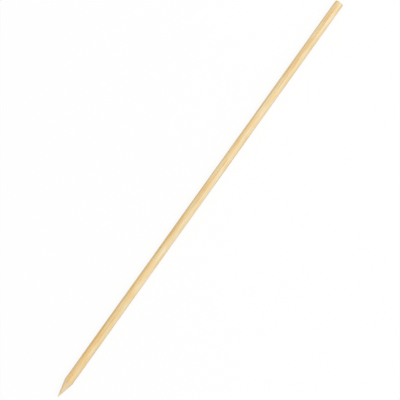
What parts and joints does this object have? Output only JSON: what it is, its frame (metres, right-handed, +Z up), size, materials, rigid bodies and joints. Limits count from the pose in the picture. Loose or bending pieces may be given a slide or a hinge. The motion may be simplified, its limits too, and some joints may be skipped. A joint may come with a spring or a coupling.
{
  "type": "bamboo skewer",
  "caption": "Slim round bamboo skewer with a square-cut blunt end and a plain conical point, for piercing pieces of food and holding them in a row.",
  "frame": {"origin": "centre of the flat face at the blunt end", "axes": "+X along the rod's axis, from the point to the blunt end and out of its flat face; the rod lies level, and +Z is up"},
  "size_m": [0.15, 0.0028, 0.0028],
  "materials": {
    "bamboo": "planed round and left bare: dry, nearly matt, with fine fibres along its length"
  },
  "bodies": {
    "root": {"skewer": "bamboo"}
  },
  "joints": []
}
